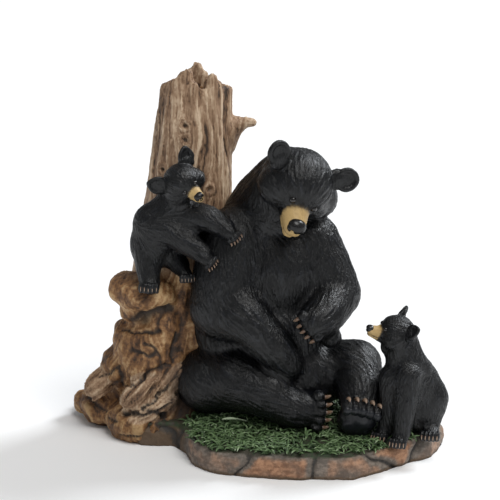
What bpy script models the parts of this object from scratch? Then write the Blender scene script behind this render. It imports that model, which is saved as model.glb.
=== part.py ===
"""A cast resin figurine: a mother black bear sitting against a broken tree stump,
one cub climbing on the stump's ledge and one cub sitting at her feet, all on a grassy rock base.

Metres, +Z up, the front of the figurine towards -Y, origin at the middle of the flat underside.
"""

from math import cos, pi, radians, sin

import bmesh
import bpy
import numpy as np
from mathutils import Euler, Matrix, Vector

# The base
BASE_WIDTH = 0.238
BASE_DEPTH = 0.156
BASE_THICKNESS = 0.016
MOUND_HEIGHT = 0.007
ROUGH_CUT = 0.006

# The tree stump. Its foot is set into the base, and heights are from that foot.
STUMP_SET_IN = 0.016
STUMP_HEIGHT = 0.246
STUMP_TOP_RADIUS = 0.0238
STUMP_FOOT_RADIUS = 0.042
STUMP_WALL = 0.011
HOLLOW_DEPTH = 0.034
LEDGE_HEIGHT = 0.100

# The bears, each measured from the ground under it to the top of its ears
MOTHER_HEIGHT = 0.187
CLIMBER_HEIGHT = 0.090
SITTER_HEIGHT = 0.090

# How finely the forms are carved
FORM_VOXEL = 0.0018
CARVED_VOXEL = 0.0012
TRIANGLES = 9600


def template(operator, **settings):
    """The corners and faces of a Blender primitive, to be copied many times."""
    bm = bmesh.new()
    operator(bm, **settings)
    corners = np.array([vert.co for vert in bm.verts])
    faces = [[vert.index for vert in face.verts] for face in bm.faces]
    bm.free()
    return corners, faces


BALL = template(bmesh.ops.create_icosphere, subdivisions=3, radius=1)
ROD = template(bmesh.ops.create_cone, cap_ends=True, segments=24, radius1=1, radius2=1, depth=1)


def moved(corners, matrix):
    """Corners moved by a matrix."""
    matrix = np.array(matrix)
    return corners @ matrix[:3, :3].T + matrix[:3, 3]


def ball(form, centre, radii, turn=(0, 0, 0)):
    """An ellipsoid. The turn is in degrees about X, Y and Z."""
    radii = (radii,) * 3 if isinstance(radii, (int, float)) else radii
    angles = Euler([radians(a) for a in turn])
    matrix = Matrix.LocRotScale(Vector(centre), angles, Vector(radii))
    form.append((moved(BALL[0], matrix), BALL[1]))


def limb(form, stations):
    """A limb of round section through stations of (x, y, z, radius)."""
    for x, y, z, radius in stations:
        ball(form, (x, y, z), float(radius))
    for start, end in zip(stations, stations[1:]):
        a, b = Vector(start[:3]), Vector(end[:3])
        along = b - a
        matrix = Matrix.Translation((a + b) / 2) @ along.to_track_quat("Z", "Y").to_matrix().to_4x4()
        radius = np.where(ROD[0][:, 2:] < 0, start[3], end[3])
        corners = ROD[0] * np.hstack([radius, radius, np.full_like(radius, along.length)])
        form.append((moved(corners, matrix), ROD[1]))


def frame(place, turn=(0, 0, 0), scale=1.0):
    """The matrix of a local frame: its origin, its turn in degrees and its unit of length."""
    angles = Euler([radians(a) for a in turn])
    return Matrix.LocRotScale(Vector(place), angles, Vector((scale,) * 3))


def facing(place, forward, up, scale=1.0):
    """A local frame whose -Y looks forward and whose +Z is as near to up as it can be."""
    back = -Vector(forward).normalized()
    side = back.cross(Vector(up)).normalized()
    turn = Matrix((side, back, side.cross(back))).transposed()
    return Matrix.Translation(place) @ turn.to_4x4() @ Matrix.Scale(scale, 4)


def placed(form, matrix, shape, *values):
    """Adds a shape that is written in a local frame."""
    local = []
    shape(local, *values)
    form += [(moved(corners, matrix), faces) for corners, faces in local]


def head(form):
    """A bear's skull and cheeks in units of half its width, looking along -Y."""
    ball(form, (0, 0.05, 0), (1.0, 1.05, 0.94))
    ball(form, (0, -0.36, 0.20), (0.70, 0.58, 0.50))
    ball(form, (0, 0.45, -0.30), (0.98, 0.85, 0.85))
    for side in (-1, 1):
        ball(form, (0.60 * side, -0.12, -0.34), (0.60, 0.66, 0.56))


def face(form, muzzle_length, nose_height, snout, ear_size, ear_taper, ears):
    """The muzzle, nose, jaw and cupped ears of that head."""
    tip = -0.75 - muzzle_length
    limb(form, [(0, -0.70, -0.22, 0.46), (0, (tip - 0.70) / 2, -0.29, 0.06 + snout),
                (0, tip, -0.175 - snout / 2, snout)])
    limb(form, [(0, -0.65, -0.52, 0.34), (0, tip - 0.02, -0.15 - 1.3 * snout, 0.64 * snout)])
    ball(form, (0, tip - 0.12, nose_height - 0.03), (0.28, 0.24, 0.22))
    for place, opening, tip_points in ears:
        placed(form, facing(place, opening, tip_points, ear_size), cupped_ear, ear_taper)


def cupped_ear(form, taper):
    """An ear of radius 1 that opens towards -Y, with a thick rim, narrower at its tip."""
    ball(form, (0, 0.12, 0), (0.92, 0.22, 0.92))
    ball(form, (0, 0.16, -0.75), (0.80, 0.42, 0.80))
    steps = 14
    rim = [(-40 + 260 * i / steps) for i in range(steps + 1)]
    limb(form, [(0.78 * cos(radians(a)), -0.02, 0.78 * sin(radians(a)), 0.22) for a in rim])
    for corners, faces in form:
        corners[:, 0] *= 1 - taper * corners[:, 2]


def pad(form, toes, length, width, height):
    """The body of a paw along -Y with its sole at z = 0."""
    ball(form, (0, length * 0.05, height * 0.5), (width / 2, length * 0.53, height * 0.55))


def paw(form, toes, length, width, height):
    """A row of toes along -Y with their claws."""
    for i in range(toes):
        across = (i / (toes - 1) - 0.5) * 0.82
        reach = -0.44 * length * (1 - 0.9 * across * across)
        toe = width / toes * 0.70
        ball(form, (across * width, reach, height * 0.45), (toe, toe * 1.3, height * 0.45))
        claw = [(reach - toe * 0.8, 0.38, 0.50), (reach - toe * 1.7, 0.18, 0.22)]
        limb(form, [(across * width, y, height * z, toe * r) for y, z, r in claw])


# Every bear is written in hundredths of its own height: the broad masses first, then the limbs,
# then its head as (place, where it looks, where its crown points, half width, muzzle length,
# nose height, snout radius, ear size, ear taper), its ears in units of half the head's width as
# (place, where the cup opens, where the tip points), and its paws as (place, where the toes
# point, where the back of the paw faces, toes, length, width, height).
MOTHER = {
    "masses": [
        ((1.5, 3.5, 11), (19, 17, 16)),
        ((7, 0.5, 28), (18, 17.5, 20)),
        ((7.5, 0.5, 48), (17, 16.5, 20)),
        ((0.5, 4.5, 60), (14.5, 15, 15)),
        ((-16, -2, 11), (13, 15, 12)), ((-9.5, 2, 30), (13.5, 14, 18)),
        ((21.7, -4, 76), (5.3, 6, 6.8)), ((24.9, -13, 29), (3.8, 4, 3.8)), ((18, -8, 13), (10, 9, 13)),
    ],
    "limbs": [
        [(-0.5, 5, 61, 14.3), (4, 3.7, 70, 13.9), (10, -1.2, 79.2, 12.6)],
        [(-17, 1, 10, 13), (-7, -10, 13, 11), (3, -17, 11, 9), (11, -19.5, 5.5, 6.5)],
        [(12, 2, 9, 12), (25, -4, 14.5, 10.4), (33.7, -8, 17.5, 9.1), (35, -19, 10.5, 7.8),
         (35, -24, 5, 6)],
        [(-8, -3, 61, 11.5), (-11, -7.5, 48, 11.6), (-13, -9.5, 38.5, 10.5), (-3, -16.3, 35.8, 7.9),
         (5.5, -18.5, 27, 6.6), (10, -16.5, 20.5, 5.4)],
        [(-9, -8.5, 50, 9.5), (-8, -12.5, 43.5, 7.6), (-3, -16.5, 37.2, 7.2)],
        [(18.4, -1, 60.8, 9.2), (22.9, -3, 51, 9.2), (26.6, -5.5, 42.6, 8.7), (23, -14.5, 38.5, 7.2),
         (20, -18, 36.5, 6.6)],
    ],
    "head": ((14.1, -12.0, 83.0), (0.0, -0.77, -0.63), (0.58, -0.54, 0.61), 11.4, 0.58, -0.19, 0.33, 0.38, 0.10),
    "ears": [
        ((-1.29, 0.14, 0.70), (0.10, -0.75, 0.65), (-0.55, 0.1, 0.85)),
        ((1.12, 0.12, 0.80), (-0.10, -0.75, 0.65), (0.90, 0.1, 0.45)),
    ],
    "paws": [
        ((15.0, -17.5, 5.4), (1, -0.12, -0.05), (0, -1, 0.1), 5, 15, 13, 7),
        ((33.4, -28, 2.6), (0.28, -0.38, 0.88), (0, 0.92, 0.40), 5, 14, 13.2, 8),
        ((19.9, -17.5, 36.7), (-0.83, -0.25, -0.55), (0, -1, 0.2), 5, 9, 11, 6),
        ((10, -12.5, 18.5), (0.55, 0.2, -0.8), (0, -1, 0.2), 5, 9, 9, 6),
    ],
}
CLIMBER = {
    "masses": [
        ((0.5, 11, 31), (15.5, 14, 19)),
        ((4.8, 9, 46), (17.5, 14.5, 17)),
        ((22, 12, 42), (14, 12, 17)),
    ],
    "limbs": [
        [(2, 11, 31, 15), (7, 9, 47, 15.5), (15.8, 8.9, 60, 13)],
        [(-2.1, 6.7, 27.4, 10.5), (-1.3, 2.2, 14.1, 8.8), (0, -2, 5, 7.6)],
        [(12.4, 14.4, 23.8, 10), (21.1, 6.7, 16.4, 7.2), (22.7, 2.2, 14.1, 5.5)],
        [(11, 3, 45, 11), (26, -4, 36.8, 9.2), (37.4, -9.5, 30, 7.2)],
        [(24, 7, 54, 11.5), (41, -1, 53, 9.6), (53.4, -8.5, 47.6, 7.4)],
    ],
    "head": ((23, 2, 78.5), (0.57, -0.77, -0.27), (-0.42, -0.56, 0.71), 13.4, 0.46, -0.23, 0.31, 0.48, 0.42),
    "ears": [
        ((-1.12, 0.52, 0.74), (-0.25, -0.85, 0.30), (-0.6, 0.25, 0.8)),
        ((1.12, 0.52, 0.74), (0.25, -0.85, 0.30), (0.6, 0.25, 0.8)),
    ],
    "paws": [
        ((0, -5, 2), (-0.1, -1, 0), (0, 0, 1), 5, 14.5, 13.5, 8),
        ((25, -1, 9), (0.3, -1, -0.2), (0, 0, 1), 5, 12, 11, 7),
        ((39, -13, 25.8), (0.8, -0.3, -0.6), (0.3, -1, 0.6), 5, 12, 11, 7),
        ((55.5, -11.5, 44.6), (0.7, -0.3, -0.7), (0.3, -1, 0.6), 5, 12, 12, 7),
    ],
}
SITTER = {
    "masses": [
        ((1.5, 2.5, 20), (21, 19.5, 20)),
        ((-4, -3, 37), (19, 17, 22)),
        ((11.5, -3.5, 25), (11.5, 11, 16)), ((-20.5, -9.5, 65.5), (6.5, 6, 6)),
    ],
    "limbs": [
        [(-1, 0, 34, 19), (-8, -7.8, 54, 14), (-12, -8, 68, 12.5)],
        [(-7, -18.9, 48, 10), (-9, -23.3, 28, 8.4), (-11.1, -25.6, 8, 6.6)],
        [(-17.5, -12.2, 44, 10), (-19, -14.4, 24.5, 8), (-21.3, -14.4, 7, 6.4)],
        [(11, -3.5, 10, 8), (9, -10, 4, 6)],
    ],
    "head": ((-15, -7.8, 76.1), (-0.92, -0.22, 0.33), (0.38, -0.12, 0.92), 12.8, 0.62, -0.20, 0.27, 0.44, 0.42),
    "ears": [
        ((-1.08, 0.35, 0.76), (-0.25, -0.85, 0.30), (-0.6, 0.25, 0.8)),
        ((1.08, 0.45, 0.74), (0.25, -0.85, 0.30), (0.6, 0.25, 0.8)),
    ],
    "paws": [
        ((-13, -29, 0), (-0.35, -1, 0), (0, 0, 1), 5, 14, 12, 7.5),
        ((-24, -17, 0), (-0.6, -1, 0), (0, 0, 1), 5, 14, 12, 7.5),
        ((10, -14, 0), (-0.2, -1, 0), (0, 0, 1), 5, 16, 13, 7.5),
    ],
}


def bear_form(form, bear):
    """The broad masses of one bear: body, limbs and skull."""
    for centre, radii in bear["masses"]:
        ball(form, centre, radii)
    for stations in bear["limbs"]:
        limb(form, stations)
    place, look, crown, size, *features = bear["head"]
    placed(form, facing(place, look, crown, size), head)
    for place, toes, back, *sizes in bear["paws"]:
        placed(form, facing(place, toes, back), pad, *sizes)


def bear_carving(form, bear):
    """What is carved crisply on that bear: its face, ears and paws."""
    place, look, crown, size, *features = bear["head"]
    placed(form, facing(place, look, crown, size), face, *features, bear["ears"])
    for place, toes, back, *sizes in bear["paws"]:
        placed(form, facing(place, toes, back), paw, *sizes)


# Each stave's top is a share of the stump's height. Every second stave lies a little deeper.
STAVE_TOPS = [
    0.924, 0.915, 0.922, 0.915, 0.925, 0.927, 0.950, 0.970,
    0.957, 0.942, 0.940, 0.930, 0.930, 0.918, 0.925, 0.918,
    0.925, 0.932, 0.941, 0.948, 0.956, 0.962, 0.978, 0.983,
    0.952, 0.930, 0.910, 0.970, 0.950, 0.935, 0.931, 0.924,
]
BARK_STEP = 0.82
STUMP_LEAN = 0.0176
# The broken branch: (how far it stands off the trunk and its radius, as shares of the trunk's
# top radius, and its height as a share of the trunk's)
BRANCH_STUB = [
    (-0.22, 0.28, 0.766), (-0.15, 0.36, 0.806), (0.08, 0.25, 0.820), (0.32, 0.15, 0.827),
    (0.54, 0.11, 0.826),
]


def branch_stub(form):
    """The stub of a broken branch on the trunk's right."""
    stations = []
    for off, thick, share in BRANCH_STUB:
        reach = stump_radius(share) + off * STUMP_TOP_RADIUS
        middle = stump_axis(share) + Vector((reach, 0, 0))
        stations.append((*middle, thick * STUMP_TOP_RADIUS))
    limb(form, stations)


def stump_axis(share):
    """The middle of the stump at a share of its height: it leans a little to the right."""
    return Vector((STUMP_LEAN * share * (1.6 - 0.6 * share), 0, STUMP_HEIGHT * share))


def stump_radius(share):
    """The stump's outer radius: it flares towards the foot."""
    return STUMP_TOP_RADIUS + (STUMP_FOOT_RADIUS - STUMP_TOP_RADIUS) * max(0, 1 - share) ** 1.2


def stave(form, index):
    """One upright ridge of weathered wood, ending in its own broken tip."""
    top = STAVE_TOPS[index]
    angle = 2 * pi * (index + 0.2 * sin(5.1 * index)) / len(STAVE_TOPS)
    steps = 9
    stations = []
    for step in range(steps + 1):
        share = top * step / steps
        turn = angle + 0.05 * sin(1.3 * index + 6 * share) + 0.2 * (share - 0.5)
        thick = STUMP_WALL / 2 * (1.12 + 0.15 * sin(1.9 * index + 4 * share))
        thick *= 1 + 0.5 * (1 - share) ** 2
        if step == steps:
            thick *= 0.55
        knot = 0.05 * sin(2 * turn + 7 * share)
        reach = stump_radius(share) * (1 + knot + 0.03 * sin(1.9 * index)) - thick
        reach -= STUMP_WALL * 0.07 * (index % 2)
        if share > BARK_STEP:
            reach += STUMP_WALL * 0.28 * min(0, cos(turn))
        middle = stump_axis(share) + Vector((cos(turn), sin(turn), 0)) * reach
        if step == steps:
            middle.z -= thick
        stations.append((*middle, thick))
    limb(form, stations)


def stump_form(form):
    """The trunk: a solid core up to the floor of its hollow, ringed by staves."""
    steps = 8
    round_top = STUMP_TOP_RADIUS - STUMP_WALL * 0.3
    core_top = min(STAVE_TOPS) - (HOLLOW_DEPTH + round_top) / STUMP_HEIGHT
    shares = [core_top * step / steps for step in range(steps + 1)]
    limb(form, [(*stump_axis(s), stump_radius(s) - STUMP_WALL * 0.5) for s in shares])
    for index in range(len(STAVE_TOPS)):
        stave(form, index)
    branch_stub(form)


# Burls, roots and slabs are written in hundredths of the ledge's height.
BURLS = [
    ((-13, -24, 97), (22, 25, 12), (0, 6, 0)),
    ((-26, -24, 99.5), (12.3, 16, 10.4), (0, 10, 0)),
    ((-20, -25, 86), (11, 15, 9), (0, -30, 0)),
    ((-1, -20, 80), (14, 20, 26), (0, 0, 0)),
    ((-9, -17, 55), (27, 27, 29), (0, 0, 0)),
    ((-25.5, -18, 66.5), (10.5, 14, 11), (0, 0, 0)),
    ((-28.5, -14, 43), (16.5, 18, 15), (0, 20, 0)),
    ((-55.5, 8, 11.5), (9, 11, 7), (0, 0, 0)),
    ((-42, -2, 12), (18, 18, 14), (0, 0, 0)),
    ((-14, -24, 10), (27, 24, 18), (0, 0, 0)),
    ((8, -18, 14), (20, 22, 20), (0, 0, 0)),
]
ROOTS = [
    [(-18, -8, 44, 18), (-40, -2, 20.5, 11), (-58, 7, 10, 6.4)],
    [(10, 10, 20, 24), (34, 22, 6, 12), (58, 28, -2, 8)],
    [(-20, 16, 16, 22), (-44, 30, 4, 12)],
]
BARK_SLABS = [
    ((-43.5, -18, 34.5), (14, 8, 8), (20, -34, 20)),
    ((-16, -39, 34), (16, 7, 10), (14, -34, 8)),
    ((4, -38, 41), (15, 6, 6), (14, -46, -6)),
    ((-7, -42, 25), (15, 6, 6), (24, -26, 4)),
]


def burl_form(form):
    """The swollen foot of the stump: burls, the ledge for the cub and the root ends."""
    for centre, radii, turn in BURLS:
        ball(form, centre, radii, turn)
    for stations in ROOTS:
        limb(form, stations)


def bark_slabs(form):
    """The slabs of old bark that stand proud of the burl's front."""
    for centre, radii, turn in BARK_SLABS:
        ball(form, centre, radii, turn)


# The base's outline seen from above, as shares of half its width and half its depth
BASE_OUTLINE = [
    (-0.955, 0.52), (-0.87, 0.24), (-0.775, 0.16), (-0.74, -0.04), (-0.62, -0.25), (-0.45, -0.27),
    (-0.365, -0.48), (-0.325, -0.70), (-0.235, -0.85), (-0.12, -0.92), (0.18, -1.00), (0.48, -0.99),
    (0.66, -0.81), (0.79, -0.64), (0.89, -0.53), (0.955, -0.34), (0.985, -0.22), (0.91, 0.00),
    (0.88, 0.34), (0.68, 0.68), (0.36, 0.86), (0.02, 0.92), (-0.34, 1.00), (-0.72, 0.94),
    (-0.94, 0.74),
]


def base_form(form):
    """The rock slab, its sides drawn in towards the foot, with a low mound of earth on it."""
    rings = [(-ROUGH_CUT, 0.97), (0.004, 1.0), (BASE_THICKNESS * 0.75, 0.985), (BASE_THICKNESS, 0.93)]
    count = len(BASE_OUTLINE)
    corners = [
        (x * share * BASE_WIDTH / 2, y * share * BASE_DEPTH / 2, height)
        for height, share in rings
        for x, y in BASE_OUTLINE
    ]
    faces = [list(range(count))[::-1], list(range(count * (len(rings) - 1), count * len(rings)))]
    for start in range(0, count * (len(rings) - 1), count):
        for i in range(count):
            a, b = start + i, start + (i + 1) % count
            faces.append([a, b, b + count, a + count])
    form.append((np.array(corners), faces))
    rise = BASE_THICKNESS * 0.6 + MOUND_HEIGHT
    ball(form, (0.020, 0, BASE_THICKNESS * 0.4), (0.080, 0.054, rise))


def form_mesh(form):
    """One mesh of all the shapes in a form."""
    corners, faces, count = [], [], 0
    for shape_corners, shape_faces in form:
        corners.append(shape_corners)
        faces += [[count + i for i in face] for face in shape_faces]
        count += len(shape_corners)
    mesh = bpy.data.meshes.new("form")
    mesh.from_pydata(np.concatenate(corners), [], faces)
    return mesh


def linked(name, mesh):
    """An object of that mesh in the scene."""
    obj = bpy.data.objects.new(name, mesh)
    bpy.context.scene.collection.objects.link(obj)
    return obj


def fuse(obj, voxel, passes):
    """Fuses overlapping forms into one skin and softens where they meet."""
    remesh = obj.modifiers.new("Fuse", "REMESH")
    remesh.mode = "VOXEL"
    remesh.voxel_size = voxel
    remesh.use_smooth_shade = True
    smooth = obj.modifiers.new("Soften", "SMOOTH")
    smooth.factor = 0.5
    smooth.iterations = passes


def evaluated(obj):
    """The object's mesh with its modifiers applied; the object itself is removed."""
    graph = bpy.context.evaluated_depsgraph_get()
    mesh = bpy.data.meshes.new_from_object(obj.evaluated_get(graph))
    bpy.data.objects.remove(obj)
    return mesh


def crisp(shape, matrix, *values):
    """Shapes that keep their edges until the whole figurine is fused."""
    form = []
    placed(form, matrix, shape, *values)
    return form_mesh(form)


def softened(shape, matrix, passes, *values):
    """One figure's broad forms, fused and softened on their own."""
    obj = linked("form", crisp(shape, matrix, *values))
    fuse(obj, FORM_VOXEL, passes)
    return evaluated(obj)


def middle_of(mesh):
    """The middle in plan of what stands above the underside."""
    corners = np.empty(3 * len(mesh.vertices))
    mesh.vertices.foreach_get("co", corners)
    corners = corners.reshape(-1, 3)
    corners = corners[corners[:, 2] >= 0]
    x, y, _ = (corners.max(axis=0) + corners.min(axis=0)) / 2
    return Vector((x, y, 0))


def painted_resin():
    """The figurine's cast resin under its satin paint."""
    material = bpy.data.materials.new("painted_resin")
    material.use_nodes = True
    shader = material.node_tree.nodes["Principled BSDF"]
    shader.inputs["Base Color"].default_value = (0.09, 0.06, 0.04, 1)
    shader.inputs["Roughness"].default_value = 0.42
    shader.inputs["Metallic"].default_value = 0.0
    return material


def on_base(x, y, height):
    """A place over the base: x and y are shares of half its width and half its depth."""
    return Vector((x * BASE_WIDTH / 2, y * BASE_DEPTH / 2, height))


def build_figurine():
    stump = frame(on_base(-0.49, 0.33, BASE_THICKNESS - STUMP_SET_IN))
    ledge = stump @ Matrix.Scale(LEDGE_HEIGHT / 100, 4)
    bears = [
        (MOTHER, frame(on_base(0, 0, BASE_THICKNESS + MOUND_HEIGHT * 0.6), scale=MOTHER_HEIGHT / 100)),
        (CLIMBER, frame(ledge @ Vector((-10, -44, 104)), scale=CLIMBER_HEIGHT / 100)),
        (SITTER, frame(on_base(0.842, -0.45, BASE_THICKNESS), scale=SITTER_HEIGHT / 100)),
    ]
    forms = [softened(base_form, Matrix(), 3), softened(stump_form, stump, 2)]
    forms += [softened(burl_form, ledge, 8), crisp(bark_slabs, ledge)]
    for bear, matrix in bears:
        forms += [softened(bear_form, matrix, 10, bear), crisp(bear_carving, matrix, bear)]
    bm = bmesh.new()
    for form in forms:
        bm.from_mesh(form)
    joined = bpy.data.meshes.new("joined")
    bm.to_mesh(joined)
    bm.free()
    figurine = linked("joined", joined)
    fuse(figurine, CARVED_VOXEL, 2)
    carved = evaluated(figurine)

    carved.transform(Matrix.Translation(-middle_of(carved)))
    figurine = bpy.data.objects.new("bear_with_cubs_figurine", carved)
    collection = bpy.data.collections.new("bear_with_cubs_figurine")
    bpy.context.scene.collection.children.link(collection)
    collection.objects.link(figurine)
    carved.materials.clear()
    carved.materials.append(painted_resin())
    thin = figurine.modifiers.new("Thin", "DECIMATE")
    thin.ratio = TRIANGLES / (2 * len(carved.polygons))
    cut = figurine.modifiers.new("Flat underside", "BOOLEAN")
    cut.operation = "DIFFERENCE"
    cut.object = underside_cutter()


def underside_cutter():
    """The block that cuts the casting off flat at z = 0."""
    depth = STUMP_HEIGHT
    bm = bmesh.new()
    size = Vector((2 * BASE_WIDTH, 2 * BASE_DEPTH, depth))
    bmesh.ops.create_cube(bm, matrix=Matrix.LocRotScale(Vector((0, 0, -depth / 2)), None, size))
    block = bpy.data.meshes.new("underside_cutter")
    bm.to_mesh(block)
    bm.free()
    cutter = linked("underside_cutter", block)
    cutter.hide_render = True
    cutter.display_type = "WIRE"
    helpers = bpy.data.collections.new("cutters")
    bpy.context.scene.collection.children.link(helpers)
    bpy.context.scene.collection.objects.unlink(cutter)
    helpers.objects.link(cutter)
    return cutter


for obj in list(bpy.data.objects):
    bpy.data.objects.remove(obj)
build_figurine()
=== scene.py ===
from itertools import pairwise
from math import cos, pi, radians, sin

import bmesh
import bpy
import numpy as np
from mathutils import Euler, Matrix, Vector
from mathutils.bvhtree import BVHTree


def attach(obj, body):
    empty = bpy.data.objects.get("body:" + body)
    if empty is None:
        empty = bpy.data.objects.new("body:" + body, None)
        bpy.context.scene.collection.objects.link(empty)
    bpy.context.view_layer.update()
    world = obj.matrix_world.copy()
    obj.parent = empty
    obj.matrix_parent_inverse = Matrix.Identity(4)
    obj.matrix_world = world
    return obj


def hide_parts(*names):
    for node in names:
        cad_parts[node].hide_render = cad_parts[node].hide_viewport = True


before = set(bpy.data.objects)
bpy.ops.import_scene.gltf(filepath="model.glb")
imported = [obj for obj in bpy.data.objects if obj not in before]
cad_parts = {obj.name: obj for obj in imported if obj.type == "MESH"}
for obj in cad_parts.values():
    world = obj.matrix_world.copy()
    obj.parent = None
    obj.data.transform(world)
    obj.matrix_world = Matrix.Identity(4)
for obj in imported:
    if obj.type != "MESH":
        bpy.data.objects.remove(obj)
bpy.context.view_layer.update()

nodeName = "bear_with_cubs_figurine"
coarser = 1.0
mm = 0.001
viewTilt = radians(16)   # how far the camera looks down


# Shapes to model with: a form is a list of small meshes, fused later.

def meshFrom(bm):
    mesh = bpy.data.meshes.new("shape")
    bm.to_mesh(mesh)
    bm.free()
    return mesh


def angled(turn):
    return Euler([radians(angle) for angle in turn])


def oval(centre, radii, turn=(0, 0, 0)):   # stretches a ball of radius 1 to that oval
    return Matrix.LocRotScale(Vector(centre), angled(turn), Vector(radii))


def ball(form, centre, radii, turn=(0, 0, 0), detail=4):
    bm = bmesh.new()
    bmesh.ops.create_icosphere(bm, subdivisions=detail, radius=1, matrix=oval(centre, radii, turn))
    form.append(meshFrom(bm))


def limb(form, stations):   # balls of x, y, z and radius, with cones between them
    for *spot, radius in stations:
        ball(form, spot, (radius,) * 3, detail=3)
    for start, end in pairwise(stations):
        a, b = Vector(start[:3]), Vector(end[:3])
        along = b - a
        place = Matrix.Translation((a + b) / 2) @ along.to_track_quat("Z", "Y").to_matrix().to_4x4()
        bm = bmesh.new()
        bmesh.ops.create_cone(bm, cap_ends=True, segments=40, radius1=start[3], radius2=end[3],
                              depth=along.length, matrix=place)
        form.append(meshFrom(bm))


def facing(place, forward, up, scale=1.0):   # -Y looks forward, +Z is as near to up as it can be
    back = -Vector(forward).normalized()
    side = back.cross(Vector(up)).normalized()
    turn = Matrix((side, back, side.cross(back))).transposed()
    return Matrix.Translation(place) @ turn.to_4x4() @ Matrix.Scale(scale, 4)


def placed(form, matrix, shape, *values):
    local = []
    shape(local, *values)
    for mesh in local:
        mesh.transform(matrix)
    form += local


def linked(name, mesh):
    obj = bpy.data.objects.new(name, mesh)
    bpy.context.scene.collection.objects.link(obj)
    return obj


def modified(mesh, *modifiers):   # a kind and its settings each
    obj = linked("work", mesh)
    for kind, settings in modifiers:
        modifier = obj.modifiers.new(kind, kind)
        for key, value in settings.items():
            setattr(modifier, key, value)
    graph = bpy.context.evaluated_depsgraph_get()
    mesh = bpy.data.meshes.new_from_object(obj.evaluated_get(graph))
    bpy.data.objects.remove(obj)
    return mesh


def joined(meshes):
    bm = bmesh.new()
    for mesh in meshes:
        bm.from_mesh(mesh)
    return meshFrom(bm)


def fused(form, voxel, passes):   # one closed skin, softened where the shapes meet
    return modified(joined(form), ("REMESH", {"mode": "VOXEL", "voxel_size": voxel}),
                    ("SMOOTH", {"factor": 0.5, "iterations": passes}))


def cutFlat(mesh, height):   # what is lower goes, and the cut is closed
    bm = bmesh.new()
    bm.from_mesh(mesh)
    bmesh.ops.bisect_plane(bm, geom=bm.verts[:] + bm.edges[:] + bm.faces[:], dist=1e-6,
                           plane_co=(0, 0, height), plane_no=(0, 0, -1), clear_outer=True)
    rim = [edge for edge in bm.edges if edge.is_boundary]
    bmesh.ops.holes_fill(bm, edges=rim, sides=0)
    bmesh.ops.triangulate(bm, faces=[face for face in bm.faces if len(face.verts) > 4])
    return meshFrom(bm)


def bentCone(sides, cuts, path, width, flat=1.0):   # a closed taper that follows path(t), t from 0 to 1
    bm = bmesh.new()
    bmesh.ops.create_cone(bm, cap_ends=True, segments=sides, radius1=1, radius2=1, depth=1)
    upright = [e for e in bm.edges if abs(e.verts[0].co.z - e.verts[1].co.z) > 0.5]
    bmesh.ops.subdivide_edges(bm, edges=upright, cuts=cuts)
    reach = [vert.co.z + 0.5 for vert in bm.verts]
    for vert, t in zip(bm.verts, reach):
        spot = Vector(path(t))
        along = (Vector(path(t + 0.01)) - Vector(path(t - 0.01))).normalized()
        side = along.cross(Vector((0.31, 0.2, 0.93))).normalized()
        across = side.cross(along)
        vert.co = spot + width(t) * (side * vert.co.x + across * vert.co.y * flat)
    mesh = meshFrom(bm)
    store(mesh, reach=reach)
    return mesh


def bow(first, middle, last):   # a path from first to last that bends towards middle
    return lambda t: first * (1 - t) ** 2 + middle * 2 * t * (1 - t) + last * t * t


# The corners of a mesh as arrays.

def corners(mesh, wanted="co"):
    values = np.empty(3 * len(mesh.vertices))
    mesh.vertices.foreach_get(wanted, values)
    return values.reshape(-1, 3)


def skin(mesh):   # where the corners are and which way they face
    return corners(mesh), corners(mesh, "normal")


def moveCorners(mesh, points):
    mesh.vertices.foreach_set("co", np.ascontiguousarray(points, dtype=np.float32).ravel())
    mesh.update()


def store(mesh, **values):   # one number for each corner, read by the materials
    for name, numbers in values.items():
        layer = mesh.attributes.new(name, "FLOAT", "POINT")
        layer.data.foreach_set("value", np.ascontiguousarray(numbers, dtype=np.float32))


def treeOf(mesh):   # for rays to hit
    return BVHTree.FromPolygons([v.co for v in mesh.vertices], [p.vertices for p in mesh.polygons])


def inFrame(points, matrix):
    turn = np.array(matrix.inverted())
    return points @ turn[:3, :3].T + turn[:3, 3]


def lengths(vectors):
    return np.sqrt((vectors * vectors).sum(axis=1))


def levelled(vectors):   # all of length 1
    return vectors / (lengths(vectors)[:, None] + 1e-9)


def swung(vectors, normals, turn):   # turned in the surface
    return vectors * np.cos(turn) + np.cross(normals, vectors) * np.sin(turn)


def ease(values, low, high):
    t = np.clip((values - low) / (high - low), 0, 1)
    return t * t * (3 - 2 * t)


class SurfaceGrid:   # finds a corner near any point that is close to the surface
    def __init__(self, points, voxel):
        self.cell = 1.25 * voxel
        self.low = points.min(axis=0) - 4 * self.cell
        self.size = ((points.max(axis=0) - self.low) / self.cell).astype(int) + 5
        grid = np.full(self.size, -1, np.int32)
        at = ((points - self.low) / self.cell).astype(int)
        grid[tuple(at.T)] = np.arange(len(points))
        for axis in (0, 1, 2) * 2:   # empty cells take from the cells beside them
            for step in (1, -1):
                grid = np.where(grid < 0, np.roll(grid, step, axis), grid)
        self.grid = grid

    def near(self, points):
        at = np.clip(((points - self.low) / self.cell).astype(int), 0, self.size - 1)
        return self.grid[tuple(at.T)]


def finished(mesh, points, triangles, grid):   # thinned, and which old corner each kept one was
    moveCorners(mesh, points)
    thin = modified(mesh, ("DECIMATE", {"ratio": min(1.0, triangles / 2 / len(mesh.polygons))}))
    return thin, np.maximum(grid.near(corners(thin)), 0)


# Grain: strands that run along a flow on the surface.

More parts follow.
